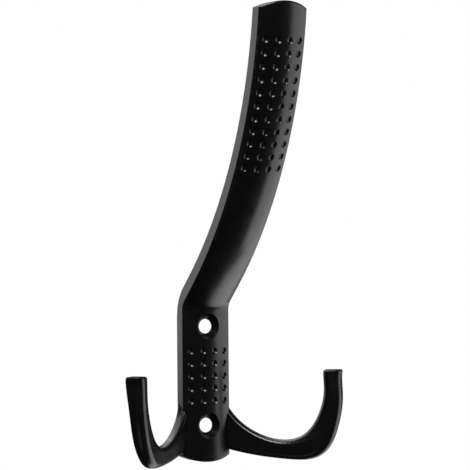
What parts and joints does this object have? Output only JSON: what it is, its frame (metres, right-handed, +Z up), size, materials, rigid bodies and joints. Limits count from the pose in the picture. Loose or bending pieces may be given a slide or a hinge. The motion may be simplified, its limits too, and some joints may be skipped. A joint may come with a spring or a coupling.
{
  "type": "coat hook",
  "caption": "Black wall coat hook: a crowned, dimpled plate with a long leaning upper arm, a small curled hook on each side and countersunk screw holes.",
  "frame": {"origin": "on the wall plane, on the plate's middle line, midway between the screw holes", "axes": "+Z up the wall, +Y into the wall, +X to the right as seen from in front; the hook stands towards -Y"},
  "size_m": [0.0786, 0.0575, 0.1445],
  "materials": {
    "black_coat": "satin black powder coat"
  },
  "bodies": {
    "root": {"hook_body": "black_coat"}
  },
  "joints": []
}
